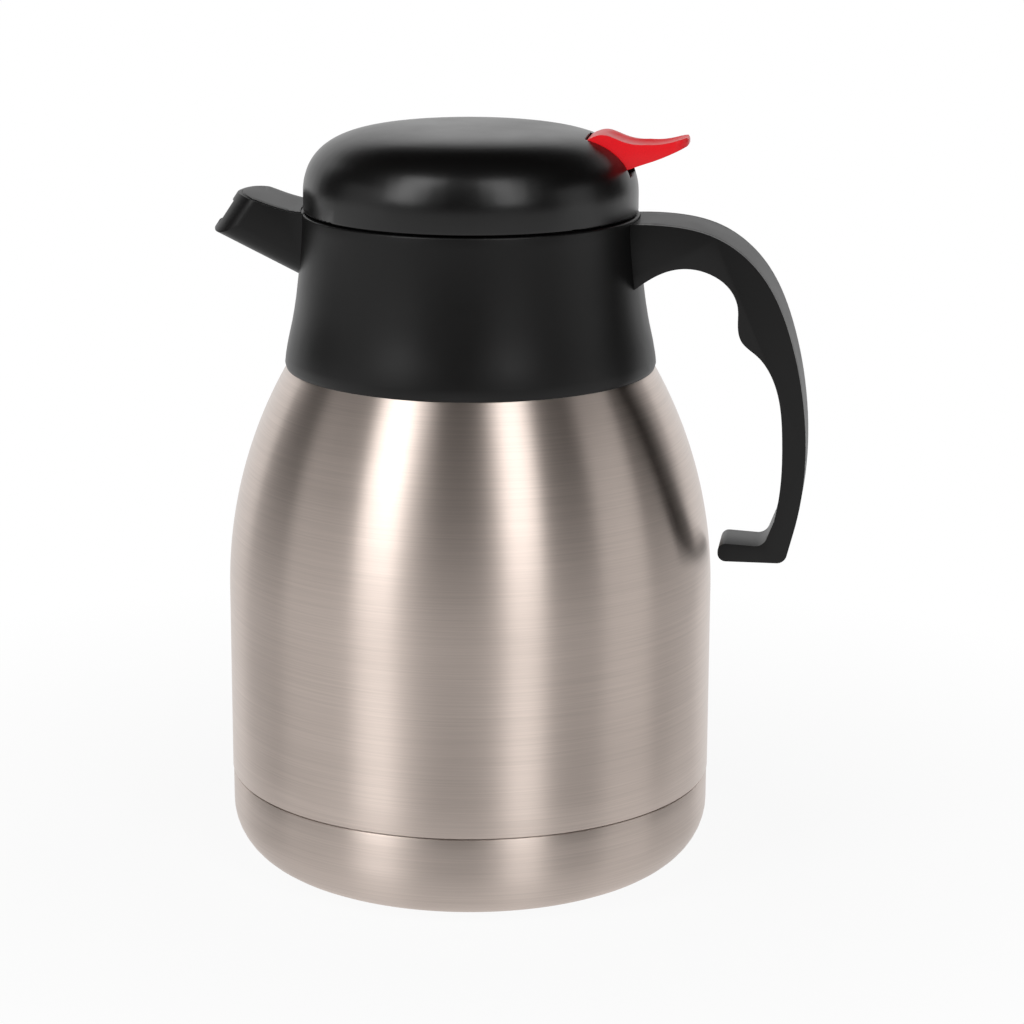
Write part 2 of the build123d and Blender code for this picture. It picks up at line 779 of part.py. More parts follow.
# Lid dome: shell with a bead under the deck, a ledge above it, keys, and the lever's slot
deck_top = deck_bottom + deck_thickness
inner_radius = dome_radius - dome_wall
with BuildPart() as lid_dome:
    with BuildSketch(Plane.XZ):
        with BuildLine():
            outside = dome_curve(0.0)
            inside = dome_curve(dome_wall)
            Polyline(
                (dome_radius - dome_edge_round, dome_bottom),
                (inner_radius - snap_bead, dome_bottom),
                (inner_radius - snap_bead, dome_bottom + snap_bead_height),
                (inner_radius, dome_bottom + snap_bead_height),
                (inner_radius, deck_top),
                (inner_radius - ledge_depth, deck_top),
                (inner_radius - ledge_depth, deck_top + ledge_height),
                (inner_radius, deck_top + ledge_height),
                inside[0],
            )
            Spline(*inside, tangents=[(0, 1), (-1, 0)])
            Line(inside[-1], outside[-1])
            Spline(*reversed(outside), tangents=[(1, 0), (0, -1)])
            Line(outside[0], (dome_radius, dome_bottom + dome_edge_round))
            RadiusArc(
                (dome_radius, dome_bottom + dome_edge_round),
                (dome_radius - dome_edge_round, dome_bottom),
                dome_edge_round,
            )
        make_face()
    revolve(axis=Axis.Z)
    with BuildSketch(Plane.XY.offset(deck_bottom)):
        with PolarLocations(inner_radius, key_count, start_angle=key_turn):
            Rectangle(2 * ledge_depth, key_width)
        Circle(inner_radius + dome_wall / 2, mode=Mode.INTERSECT)
    extrude(amount=deck_thickness)
    with BuildSketch(Plane.XY.offset(slot_bottom)):
        with Locations((lever_top[0][0] - slot_gap + dome_radius / 2, 0)):
            Rectangle(dome_radius, 2 * (lever_half_width + slot_gap))
    extrude(amount=dome_rise, mode=Mode.SUBTRACT)


def pin_bar(radius, half_length):
    """Round bar along the lever's pin axis."""
    return Solid.make_cylinder(radius, 2 * half_length, Plane((pin_x, -half_length, pin_z), z_dir=(0, 1, 0)))


# Stopper: threaded tube with pouring windows under the deck, the stem's guide and the lever's ears
seal_top = seat_height + seal_thickness + seal_fit
with BuildPart() as stopper_body:
    with BuildSketch(Plane.XZ):
        with BuildLine():
            Polyline(
                (stopper_bore, stopper_bottom),
                (plug_radius, stopper_bottom),
                (plug_radius, seat_height - seal_fit - 2 * seal_bead),
                (plug_radius + seal_bead, seat_height - seal_fit - seal_bead),
                (plug_radius, seat_height - seal_fit),
                (plug_radius, seal_top),
                (tube_radius, seal_top),
                (tube_radius, deck_bottom),
                (chamber_radius - deck_skirt_gap - deck_skirt_wall, deck_bottom),
                (chamber_radius - deck_skirt_gap - deck_skirt_wall, deck_skirt_bottom),
                (chamber_radius - deck_skirt_gap, deck_skirt_bottom),
                (chamber_radius - deck_skirt_gap, deck_bottom),
                (inner_radius - deck_fit, deck_bottom),
                (inner_radius - deck_fit, deck_top),
                (guide_radius, deck_top),
                (guide_radius, guide_top),
                (stem_radius + running_fit, guide_top),
                (stem_radius + running_fit, guide_bottom + stem_seal_height),
                (stem_seal_radius, guide_bottom + stem_seal_height),
                (stem_seal_radius, guide_bottom),
                (guide_radius, guide_bottom),
                (guide_radius, deck_bottom),
                (stopper_bore, deck_bottom),
                close=True,
            )
        make_face()
    revolve(axis=Axis.Z)
    with BuildSketch(Plane.XY.offset(window_bottom)):
        with PolarLocations(tube_radius, window_count):
            Rectangle(stopper_bore, window_width)
    extrude(amount=window_top - window_bottom, mode=Mode.SUBTRACT)
    with BuildSketch(Plane.XY.offset(deck_bottom)):
        with PolarLocations(inner_radius, key_count, start_angle=key_turn):
            Rectangle(2 * (ledge_depth + deck_fit), key_width + 2 * deck_fit)
    extrude(amount=deck_thickness, mode=Mode.SUBTRACT)
    with BuildSketch(Plane.XZ):
        with Locations((pin_x, pin_z)):
            Circle(ear_radius)
        with Locations((pin_x, (pin_z + deck_top) / 2)):
            Rectangle(2 * ear_radius, pin_z - deck_top)
    extrude(amount=ear_inner + ear_thickness, both=True)
    with BuildSketch(Plane.XY.offset(deck_top)):
        with Locations((pin_x, 0)):
            Rectangle(4 * ear_radius, 2 * ear_inner)
    extrude(amount=pin_z + ear_radius - deck_top, mode=Mode.SUBTRACT)
    add(pin_bar(pin_radius + weld_gap / 2, pin_half_length), mode=Mode.SUBTRACT)
    with PolarLocations(0, thread_starts):
        add(
            thread_ridge(
                male_arc,
                throat_radius - thread_clearance,
                tube_radius - ridge_root,
                female_middle - thread_height - thread_axial_gap - thread_lead * male_lag / 360,
                female_turn - male_lag,
            )
        )

# Ring that seals the stopper on the collar's seat
with BuildPart() as neck_seal:
    with BuildSketch(Plane.XY.offset(seat_height)):
        Circle(tube_radius + thread_clearance - seal_fit)
        Circle(plug_radius + seal_fit, mode=Mode.SUBTRACT)
    extrude(amount=seal_thickness)

# Plug of the stopper, with the valve's seat in the middle
with BuildPart() as stopper_base:
    with BuildSketch(Plane.XZ):
        with BuildLine():
            Polyline(
                (seat_hole_radius, stopper_bottom - base_thickness),
                (plug_radius, stopper_bottom - base_thickness),
                (plug_radius, stopper_bottom),
                (stopper_bore - weld_gap, stopper_bottom),
                (stopper_bore - weld_gap, stopper_bottom + base_ring_height),
                (stopper_bore - base_ring_wall, stopper_bottom + base_ring_height),
                (stopper_bore - base_ring_wall, stopper_bottom),
                (seat_hole_radius + seat_lip_wall, stopper_bottom),
                (seat_hole_radius + seat_lip_wall, stopper_bottom + seat_lip_height),
                (seat_hole_radius, stopper_bottom + seat_lip_height),
                close=True,
            )
        make_face()
    revolve(axis=Axis.Z)


def ring(bottom, height, outer_radius, hole_radius):
    """Flat ring about the jug's axis."""
    with BuildPart(mode=Mode.PRIVATE) as piece:
        with BuildSketch(Plane.XY.offset(bottom)):
            Circle(outer_radius)
            Circle(hole_radius, mode=Mode.SUBTRACT)
        extrude(amount=height)
    return piece


# Valve: soft washer, stem with its plate, nut and clip
valve_seat = stopper_bottom + seat_lip_height
plate_bottom = valve_seat + valve_seal_thickness
plate_top = plate_bottom + valve_plate_thickness
stem_bottom = valve_seat - retainer_height
valve_seal = ring(valve_seat, valve_seal_thickness, valve_seal_radius, stem_radius)
seal_retainer = ring(stem_bottom, retainer_height, retainer_radius, stem_radius)
with BuildPart() as valve_stem:
    with BuildSketch(Plane.XY.offset(stem_bottom)):
        Circle(stem_radius)
    extrude(amount=stem_top - stem_bottom)
    with BuildSketch(Plane.XY.offset(plate_bottom)):
        Circle(valve_plate_radius)
    extrude(amount=valve_plate_thickness)
    with BuildSketch(Plane.XY.offset(plate_top)):
        Circle(valve_hub_radius)
    extrude(amount=valve_hub_height)
    with BuildSketch(Plane.XY.offset(clip_height)):
        Circle(2 * stem_radius)
        Circle(stem_radius - clip_groove, mode=Mode.SUBTRACT)
    extrude(amount=clip_thickness, mode=Mode.SUBTRACT)
    chamfer(valve_stem.edges().sort_by(Axis.Z)[-1], stem_chamfer)
stem_clip = ring(clip_height, clip_thickness, clip_radius, stem_radius - clip_groove)

# Seal round the stem and the washer that holds it
stem_seal = ring(guide_bottom, stem_seal_height, stem_seal_radius - weld_gap, stem_radius + running_fit)
spring_seat = ring(
    guide_bottom - spring_seat_thickness,
    spring_seat_thickness,
    spring_seat_radius,
    stem_radius + spring_seat_gap,
)

# Spring that presses the valve onto its seat
spring_top = guide_bottom - spring_seat_thickness
spring_height = spring_top - plate_top - spring_wire
with BuildPart() as valve_spring:
    with BuildLine() as coil:
        Helix(
            pitch=spring_height / spring_turns,
            height=spring_height,
            radius=spring_radius,
            center=(0, 0, plate_top + spring_wire / 2),
        )
    with BuildSketch(Plane(origin=coil.line @ 0, z_dir=coil.line % 0)):
        Circle(spring_wire / 2)
    sweep(is_frenet=True)

# Pin through the ears and the lever
with BuildPart() as lever_pin:
    add(pin_bar(pin_radius, pin_half_length))

# The fork reaches under the clip on the stem
fork_z = clip_height - fork_gap - fork_radius

# Thumb lever: red blade through the dome's slot, hub on the pin, and a fork under the stem's clip
with BuildPart() as lever:
    with BuildSketch(Plane.XZ):
        with BuildLine():
            Spline(*lever_top)
            ThreePointArc(lever_top[-1], *from_pin([tip_outline]), lever_underside[0])
            Spline(*lever_underside)
            Polyline(lever_underside[-1], *from_pin(heel_outline), lever_top[0])
        make_face()
    extrude(amount=lever_half_width, both=True)
    with BuildSketch(Plane.XY.offset(pin_z - ear_radius)):
        with BuildLine():
            half_view = [
                (lever_top[0][0], lever_half_width),
                (pin_x + lever_shoulder, lever_half_width),
                (lever_tip, lever_tip_half_width),
            ]
            Polyline(
                *half_view,
                *[(x, -y) for x, y in reversed(half_view)],
                close=True,
            )
        make_face()
        fillet(vertices().sort_by(Axis.X)[-2:], lever_tip_round)
    extrude(amount=dome_rise, mode=Mode.INTERSECT)
    with Locations((pin_x + dish_reach, 0, min(z for x, z in lever_top) + dish_radius - dish_depth)):
        Sphere(dish_radius, mode=Mode.SUBTRACT)
    add(pin_bar(ear_radius + ear_clearance, 2 * lever_half_width), mode=Mode.SUBTRACT)
    with BuildSketch(Plane.XZ):
        with Locations((pin_x, pin_z)):
            Circle(ear_radius + ear_clearance)
    extrude(amount=hub_half_width, both=True)
    with BuildSketch(Plane.XZ):
        with BuildLine():
            Polyline(
                (pin_x, pin_z + ear_radius),
                (pin_x, pin_z - ear_radius),
                (0, fork_z - fork_radius),
                (0, fork_z + fork_radius),
                close=True,
            )
        make_face()
        with Locations((0, fork_z)):
            Circle(fork_radius)
    extrude(amount=hub_half_width, both=True)
    with BuildSketch(Plane.XY.offset(fork_z - 2 * fork_radius)):
        Rectangle(2 * fork_slot_length, 2 * fork_slot_half_width)
    extrude(amount=4 * fork_radius, mode=Mode.SUBTRACT)
    add(pin_bar(pin_radius + running_fit, 2 * lever_half_width), mode=Mode.SUBTRACT)

pieces = {
    "outer_shell": outer_shell,
    "base_cup": base_cup,
    "base_pad": base_pad,
    "shell_floor": shell_floor,
    "vacuum_seal_bead": vacuum_seal_bead,
    "inner_bottle": inner_bottle,
    "getter": getter,
    "neck_ring": neck_ring,
    "collar": collar,
    "spout_cover": spout_cover,
    "collar_gasket": collar_gasket,
    "handle_grip": handle_grip,
    "handle_spine_cover": handle_spine_cover,
    "handle_screws": handle_screws,
    "neck_seal": neck_seal,
    "lid_dome": lid_dome,
    "stopper_body": stopper_body,
    "stopper_base": stopper_base,
    "lever_pin": lever_pin,
    "stem_seal": stem_seal,
    "spring_seat": spring_seat,
    "valve_spring": valve_spring,
    "lever": lever,
    "valve_stem": valve_stem,
    "valve_seal": valve_seal,
    "seal_retainer": seal_retainer,
    "stem_clip": stem_clip,
}
for name, piece in pieces.items():
    piece.part.label = name
    export_step(piece.part, f"parts/{name}.step")
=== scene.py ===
import json
import math

import bpy
from bpy.props import FloatProperty, FloatVectorProperty, PointerProperty
from bpy.types import Operator, Panel, PropertyGroup
from mathutils import Euler, Matrix, Vector


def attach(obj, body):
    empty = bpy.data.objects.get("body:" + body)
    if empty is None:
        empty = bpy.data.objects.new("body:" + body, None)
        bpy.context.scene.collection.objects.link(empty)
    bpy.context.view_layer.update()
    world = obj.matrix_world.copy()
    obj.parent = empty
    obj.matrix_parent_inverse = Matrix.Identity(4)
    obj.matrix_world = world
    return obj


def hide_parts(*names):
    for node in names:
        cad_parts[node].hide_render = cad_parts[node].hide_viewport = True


bl_info = {
    "name": "Double-walled steel jug",
    "version": (1, 0, 0),
    "blender": (4, 5, 0),
    "location": "View3D > Sidebar > Jug",
    "description": "Builds the looks of a double-walled steel jug with a screw-in pouring lid",
    "category": "Object",
}

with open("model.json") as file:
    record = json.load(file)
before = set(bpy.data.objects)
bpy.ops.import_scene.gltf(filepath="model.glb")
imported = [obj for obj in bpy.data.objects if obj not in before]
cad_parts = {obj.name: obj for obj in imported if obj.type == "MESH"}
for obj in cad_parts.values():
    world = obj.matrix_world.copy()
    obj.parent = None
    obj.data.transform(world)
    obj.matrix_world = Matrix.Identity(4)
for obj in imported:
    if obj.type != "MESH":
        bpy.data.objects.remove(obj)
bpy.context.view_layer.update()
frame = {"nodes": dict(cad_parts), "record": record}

# One millimetre in Blender's metres
MM = 0.001

# Steps round the jug's axis, and on the curves of the side view
TURN_STEPS = 192
ROUND_STEPS = 4
SHOULDER_STEPS = 28
WALL_STEPS = 6
CORNER_STEPS = 12

# How near two points of a mesh are when they are one
MERGE_DISTANCE = 0.002 * MM
# A corner whose half angle is within this of a quarter turn, in radians, isn't rounded
NEARLY_STRAIGHT = 0.02

# Degrees between faces: up to which two are one plane, and from which an edge is rounded and sharp
PLANE_ANGLE = 0.05
EDGE_ANGLE = 32.0
# Degrees up to which the faces of the turned steel are shaded as one
TURNED_SMOOTH_ANGLE = 40
# Segments of a rounded edge
EDGE_SEGMENTS = 3

# Height that the UV map's full span stands for
UV_HEIGHT = 0.25

# Walls of the steel sheet, in metres
BODY_WALL = 0.6 * MM
BASE_WALL = 0.55 * MM
# Side view of the steel body below the seam, as (radius, height) in millimetres
BODY_SLEEVE = [(70.1, 17.0), (70.1, 26.6)]
# How the body's edge turns in at the seam, as (inwards, upwards) in millimetres
BODY_EDGE = [(0.35, 0.0), (0.1, 0.08), (0.0, 0.35)]
# Side view of the body's neck with its rib, as (radius, height, round) in millimetres
BODY_NECK = [(37.0, 153.2, 0.8), (37.0, 156.0, 0.6), (37.9, 157.5, 0.9), (37.0, 159.0, 0.6), (37.0, 162.0, 0)]
# Side view of the base band's floor and foot ring, as (radius, height) in millimetres
BASE_FLOOR = [(0.0, 2.5), (20.0, 2.5), (45.2, 2.5), (45.7, 2.3), (46.8, 0.2), (47.3, 0.0)]
# How the base band ends under the seam, as (inwards, downwards) in millimetres
BASE_EDGE = [(0.0, 5.0), (0.0, 0.3), (0.1, 0.08), (0.3, 0.0)]

# Colours of finishes that the inner parts and the stage have
BRIGHT_STEEL = (0.6, 0.59, 0.58)
SOLDER_GREY = (0.45, 0.44, 0.42)
PAD_BLACK = (0.025, 0.024, 0.024)
CLOTH_BLACK = (0.02, 0.016, 0.014)
ROOM_DARK = (0.034, 0.027, 0.024)
FLOOR_GREY = 0.6

# Height on the jug's axis that the soft boxes face
LIT_HEIGHT = 0.12
# Steps round the black cloth
CLOTH_STEPS = 72


class JugSizes(PropertyGroup):
    """Sizes of the steel body and the base band."""

    body_radius: FloatProperty(
        name="Body radius", description="Radius of the steel body's straight wall",
        default=0.071, unit="LENGTH")
    base_radius: FloatProperty(
        name="Base radius", description="Radius of the steel band below the seam",
        default=0.0708, unit="LENGTH")
    base_corner: FloatProperty(
        name="Base corner", description="Radius of the round lower edge", default=0.017, unit="LENGTH")
    seam_height: FloatProperty(
        name="Seam height", description="Height of the seam between body and base",
        default=0.027, unit="LENGTH")
    seam_width: FloatProperty(
        name="Seam width", description="Width of the gap at the seam", default=0.00035, unit="LENGTH")
    straight_top: FloatProperty(
        name="Straight wall top", description="Height at which the wall begins to curve in",
        default=0.082, unit="LENGTH")
    shoulder_radius: FloatProperty(
        name="Shoulder radius", description="Radius of the wall's curve in the side view",
        default=0.132, unit="LENGTH")
    shoulder_top: FloatProperty(
        name="Shoulder top", description="Height at which the curved wall ends under the collar",
        default=0.151, unit="LENGTH")


class JugColours(PropertyGroup):
    """Colours of the jug's finishes."""

    steel: FloatVectorProperty(
        name="Steel", description="Colour of the brushed steel", subtype="COLOR",
        default=(0.60, 0.515, 0.465), min=0.0, max=1.0)
    black: FloatVectorProperty(
        name="Black plastic", description="Colour of the collar, the handle and the dome", subtype="COLOR",
        default=(0.0032, 0.003, 0.003), min=0.0, max=1.0)
    red: FloatVectorProperty(
        name="Red plastic", description="Colour of the lever", subtype="COLOR",
        default=(0.97, 0.008, 0.016), min=0.0, max=1.0)
    white: FloatVectorProperty(
        name="White plastic", description="Colour of the valve's plain plastic", subtype="COLOR",
        default=(0.72, 0.71, 0.69), min=0.0, max=1.0)
    seal: FloatVectorProperty(
        name="Silicone", description="Colour of the seals", subtype="COLOR",
        default=(0.55, 0.55, 0.53), min=0.0, max=1.0)


class JugStage(PropertyGroup):
    """Camera and studio."""

    camera_distance: FloatProperty(
        name="Camera distance", description="Level distance from the camera to the jug's axis",
        default=0.9, unit="LENGTH")
    camera_height: FloatProperty(
        name="Camera height", description="Height of the camera above the floor",
        default=0.3339, unit="LENGTH")
    camera_offset: FloatProperty(
        name="Camera offset", description="How far the camera stands to the right of the axis",
        default=0.0122, unit="LENGTH")
    camera_turn: FloatProperty(
        name="Camera turn", description="How far the camera is turned towards the handle",
        default=math.radians(7.5), subtype="ANGLE")
    camera_tilt: FloatProperty(
        name="Camera tilt", description="How far the camera looks down",
        default=math.radians(14.37), subtype="ANGLE")
    camera_roll: FloatProperty(
        name="Camera roll", description="How far the camera is rolled about its view axis",
        default=math.radians(0.25), subtype="ANGLE")
    camera_lens: FloatProperty(
        name="Lens", description="Focal length in millimetres", default=110.81)


# Lines in the side view


def scaled(points):
    """Points given in millimetres, in metres."""
    return [tuple(value * MM for value in point) for point in points]


def rounded(corners):
    """Side view line through corners (radius, height, round), with each corner rounded."""
    line = []
    last = len(corners) - 1
    for index, (x, z, size) in enumerate(corners):
        corner = Vector((x, z))
        if size == 0 or index in (0, last):
            line.append((x, z))
            continue
        before = (Vector(corners[index - 1][:2]) - corner).normalized()
        after = (Vector(corners[index + 1][:2]) - corner).normalized()
        half = math.acos(max(-1.0, min(1.0, before.dot(after)))) / 2
        if half > math.pi / 2 - NEARLY_STRAIGHT:
            line.append((x, z))
            continue
        start = before * (size / math.tan(half))
        end = after * (size / math.tan(half))
        centre = (before + after).normalized() * (size / math.sin(half))
        for step in range(ROUND_STEPS + 1):
            share = step / ROUND_STEPS
            spoke = (start - centre).slerp(end - centre, share)
            point = corner + centre + spoke
            line.append((point.x, point.y))
    return line


def moved_in(line, distance):
    """Line moved to its left by the distance."""
    moved = []
    for index, point in enumerate(line):
        before = Vector(line[max(index - 1, 0)])
        after = Vector(line[min(index + 1, len(line) - 1)])
        along = (after - before).normalized()
        moved.append((max(point[0] - along.y * distance, 0.0), point[1] + along.x * distance))
    return moved


def sheet_outline(line, wall):
    """Outline of a sheet whose outer face is the line, closed along its inner face."""
    return line + moved_in(line, wall)[::-1]


def shoulder_line(sizes):
    """Points along the body's curved wall, in metres."""
    points = []
    for step in range(SHOULDER_STEPS + 1):
        climb = (sizes.shoulder_top - sizes.straight_top) * step / SHOULDER_STEPS
        out = math.sqrt(sizes.shoulder_radius ** 2 - climb ** 2)
        points.append((sizes.body_radius - sizes.shoulder_radius + out, sizes.straight_top + climb))
    return points


# Meshes made by the tools of edit mode


def clear_selection():
    """Nothing is selected or active afterwards."""
    bpy.ops.object.select_all(action="DESELECT")
    bpy.context.view_layer.objects.active = None


def pick(piece):
    """Only the piece is selected and active."""
    clear_selection()
    piece.select_set(True)
    bpy.context.view_layer.objects.active = piece


def start_line(name, point):
    """New mesh of one point in the side view, in edit mode with the point selected."""
    clear_selection()
    bpy.ops.mesh.primitive_plane_add(size=MM, location=(0, 0, 0))
    piece = bpy.context.object
    piece.name = name
    piece.data.name = name
    bpy.ops.object.mode_set(mode="EDIT")
    bpy.ops.mesh.select_all(action="SELECT")
    bpy.ops.mesh.merge(type="CENTER")
    bpy.ops.mesh.select_all(action="SELECT")
    bpy.ops.transform.translate(value=(point[0], 0, point[1]))
    return piece


def turned(name, outline):
    """Piece turned about the jug's axis from its closed outline (radius, height)."""
    piece = start_line(name, outline[0])
    for before, after in zip(outline, outline[1:] + outline[:1]):
        bpy.ops.mesh.extrude_vertices_move(
            TRANSFORM_OT_translate={"value": (after[0] - before[0], 0, after[1] - before[1])}
        )
    bpy.ops.mesh.select_all(action="SELECT")
    bpy.ops.mesh.remove_doubles(threshold=MERGE_DISTANCE)
    bpy.ops.mesh.select_all(action="SELECT")
    bpy.ops.mesh.spin(steps=TURN_STEPS, angle=2 * math.pi, center=(0, 0, 0), axis=(0, 0, 1))
    bpy.ops.mesh.select_all(action="SELECT")
    bpy.ops.mesh.remove_doubles(threshold=MERGE_DISTANCE)
    bpy.ops.mesh.select_all(action="SELECT")
    bpy.ops.mesh.normals_make_consistent(inside=False)
    bpy.ops.object.mode_set(mode="OBJECT")
    return piece


def smooth(piece, angle):
    """Smooth shading up to an angle between faces, in degrees."""
    pick(piece)
    bpy.ops.object.shade_smooth_by_angle(angle=math.radians(angle))


def round_edges(piece, width):
    """Rounds the sharp edges of a piece."""
    pick(piece)
    bevel = piece.modifiers.new("Rounded edges", "BEVEL")
    bevel.width = width
    bevel.segments = EDGE_SEGMENTS
    bevel.limit_method = "ANGLE"
    bevel.angle_limit = math.radians(EDGE_ANGLE)
    bevel.use_clamp_overlap = True
    bpy.ops.object.modifier_apply(modifier=bevel.name)


def unwrap_around(piece):
    """UV map that runs round the axis in U and up the piece in V."""
    mesh = piece.data
    layer = mesh.uv_layers.new(name="around") if not mesh.uv_layers else mesh.uv_layers[0]
    layer.name = "around"
    for face in mesh.polygons:
        middle = math.atan2(face.center.y, face.center.x)
        for loop in face.loop_indices:
            place = mesh.vertices[mesh.loops[loop].vertex_index].co
            turn = math.atan2(place.y, place.x)
            if place.x ** 2 + place.y ** 2 < MM ** 2:
                turn = middle
            if turn - middle > math.pi:
                turn -= 2 * math.pi
            if middle - turn > math.pi:
                turn += 2 * math.pi
            layer.data[loop].uv = (turn / (2 * math.pi), place.z / UV_HEIGHT)


def finished_copy(node, name, edge_round):
    """Copy of a CAD node with its points joined, its flat faces whole and its sharp edges rounded."""
    piece = bpy.data.objects.new(name, frame["nodes"][node].data.copy())
    bpy.context.scene.collection.objects.link(piece)
    pick(piece)
    bpy.ops.object.mode_set(mode="EDIT")
    bpy.ops.mesh.select_all(action="SELECT")
    bpy.ops.mesh.remove_doubles(threshold=MERGE_DISTANCE)
    bpy.ops.mesh.dissolve_limited(angle_limit=math.radians(PLANE_ANGLE))
    bpy.ops.object.mode_set(mode="OBJECT")
    if piece.data.has_custom_normals:
        bpy.ops.mesh.customdata_custom_splitnormals_clear()
    round_edges(piece, edge_round)
    smooth(piece, EDGE_ANGLE)
    return piece


# Finishes


def new_finish(name, colour, roughness):
    """Material with one principled shader, and the shader."""
    material = bpy.data.materials.new(name)
    material.use_nodes = True
    shader = material.node_tree.nodes["Principled BSDF"]
    shader.inputs["Base Color"].default_value = (*colour, 1)
    shader.inputs["Roughness"].default_value = roughness
    return material, shader


def add_node(material, kind, **values):
    """Node with its plain settings and input values set."""
    node = material.node_tree.nodes.new(kind)
    for key, value in values.items():
        if hasattr(node, key):
            setattr(node, key, value)
        else:
            node.inputs[key.replace("_", " ")].default_value = value
    return node


def wire(material, source, output, target, socket):
    """Link from one node's output to another's input."""
    material.node_tree.links.new(source.outputs[output], target.inputs[socket])


def stretched_noise(material, per_metre, detail, seed=(0.0, 0.0, 0.0)):
    """Noise on object coordinates, with the number of cells per metre along each axis."""
    place = add_node(material, "ShaderNodeTexCoord")
    stretch = add_node(material, "ShaderNodeMapping")
    stretch.inputs["Scale"].default_value = per_metre
    stretch.inputs["Location"].default_value = seed
    noise = add_node(material, "ShaderNodeTexNoise", Scale=1.0, Detail=detail, Roughness=0.55)
    wire(material, place, "Object", stretch, "Vector")
    wire(material, stretch, "Vector", noise, "Vector")
    return noise


def spread(material, noise, low, high):
    """Middle range of a noise, spread between a low and a high number."""
    span = add_node(material, "ShaderNodeMapRange", From_Min=0.3, From_Max=0.7, To_Min=low, To_Max=high)
    wire(material, noise, "Fac", span, "Value")
    return span


def tint(material, shader, factor, colour, other):
    """Base colour that goes from one colour to another with a pattern."""
    mix = add_node(material, "ShaderNodeMix", data_type="RGBA")
    colours = [socket for socket in mix.inputs if socket.type == "RGBA"]
    colours[0].default_value = (*colour, 1)
    colours[1].default_value = (*other, 1)
    wire(material, factor, "Result", mix, 0)
    result = [socket for socket in mix.outputs if socket.type == "RGBA"][0]
    material.node_tree.links.new(result, shader.inputs["Base Color"])


def roughen(material, shader, noise, low, high):
    """Roughness that wanders between a low and a high number with a noise."""
    wire(material, spread(material, noise, low, high), "Result", shader, "Roughness")


def press_in(material, shader, noise, strength, depth, under=None):
    """Bump from a noise, on top of another bump if there is one."""
    bump = add_node(material, "ShaderNodeBump", Strength=strength, Distance=depth)
    wire(material, noise, "Fac", bump, "Height")
    if under is not None:
        wire(material, under, "Normal", bump, "Normal")
    wire(material, bump, "Normal", shader, "Normal")
    return bump


def shade_of(colour, share):
    """Colour made darker or lighter by a share."""
    return [min(1.0, value * share) for value in colour]


def brushed_steel(name, colour, roughness):
    """Steel brushed round the axis: long fine lines, with highlights drawn out across them."""
    material, shader = new_finish(name, colour, roughness)
    shader.inputs["Metallic"].default_value = 1.0
    shader.inputs["Anisotropic"].default_value = 0.97
    shader.inputs["Anisotropic Rotation"].default_value = 0.25
    grain_way = add_node(material, "ShaderNodeTangent", direction_type="UV_MAP", uv_map="around")
    wire(material, grain_way, "Tangent", shader, "Tangent")
    lines = stretched_noise(material, (26.0, 26.0, 2400.0), detail=3.0)
    dashes = stretched_noise(material, (60.0, 60.0, 1100.0), detail=2.0, seed=(3.0, 7.0, 5.0))
    cloud = stretched_noise(material, (18.0, 18.0, 9.0), detail=2.0, seed=(9.0, 2.0, 4.0))
    tone = spread(material, lines, low=0.0, high=1.0)
    tint(material, shader, tone, shade_of(colour, 0.93), shade_of(colour, 1.05))
    roughen(material, shader, cloud, low=roughness - 0.03, high=roughness + 0.04)
    fine = press_in(material, shader, lines, strength=0.10, depth=0.05 * MM)
    press_in(material, shader, dashes, strength=0.10, depth=0.06 * MM, under=fine)
    return material


def moulded_plastic(name, colour, roughness, grain=0.12, specular=0.5):
    """Moulded plastic with a fine spark-eroded grain."""
    material, shader = new_finish(name, colour, roughness)
    shader.inputs["Specular IOR Level"].default_value = specular
    pores = stretched_noise(material, (2600.0, 2600.0, 2600.0), detail=2.0)
    patches = stretched_noise(material, (45.0, 45.0, 45.0), detail=3.0, seed=(4.0, 1.0, 2.0))
    roughen(material, shader, patches, low=roughness - 0.025, high=roughness + 0.03)
    tone = spread(material, pores, low=0.0, high=1.0)
    tint(material, shader, tone, shade_of(colour, 0.96), shade_of(colour, 1.04))
    press_in(material, shader, pores, strength=grain, depth=0.03 * MM)
    return material


def soft_rubber(name, colour, roughness):
    """Soft seal or pad with a dusty, slightly uneven skin."""
    material, shader = new_finish(name, colour, roughness)
    skin = stretched_noise(material, (900.0, 900.0, 900.0), detail=3.0)
    dust = stretched_noise(material, (70.0, 70.0, 70.0), detail=4.0, seed=(1.0, 5.0, 3.0))
    tone = spread(material, dust, low=0.0, high=1.0)
    tint(material, shader, tone, shade_of(colour, 0.88), shade_of(colour, 1.08))
    roughen(material, shader, skin, low=roughness - 0.05, high=roughness + 0.05)
    press_in(material, shader, skin, strength=0.2, depth=0.04 * MM)
    return material


def worn_metal(name, colour, roughness):
    """Plain drawn or soldered metal with faint stains."""
    material, shader = new_finish(name, colour, roughness)
    shader.inputs["Metallic"].default_value = 1.0
    stains = stretched_noise(material, (60.0, 60.0, 60.0), detail=4.0)
    fine = stretched_noise(material, (700.0, 700.0, 700.0), detail=2.0, seed=(2.0, 2.0, 8.0))
    tone = spread(material, stains, low=0.0, high=1.0)
    tint(material, shader, tone, shade_of(colour, 0.88), shade_of(colour, 1.06))
    roughen(material, shader, stains, low=roughness - 0.05, high=roughness + 0.08)
    press_in(material, shader, fine, strength=0.08, depth=0.03 * MM)
    return material


def dress(piece, material):
    """The piece has only this material."""
    piece.data.materials.clear()
    piece.data.materials.append(material)


def set_out(piece, body, node):
    """The piece rides on its body and stands for its CAD node."""
    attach(piece, body)
    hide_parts(node)


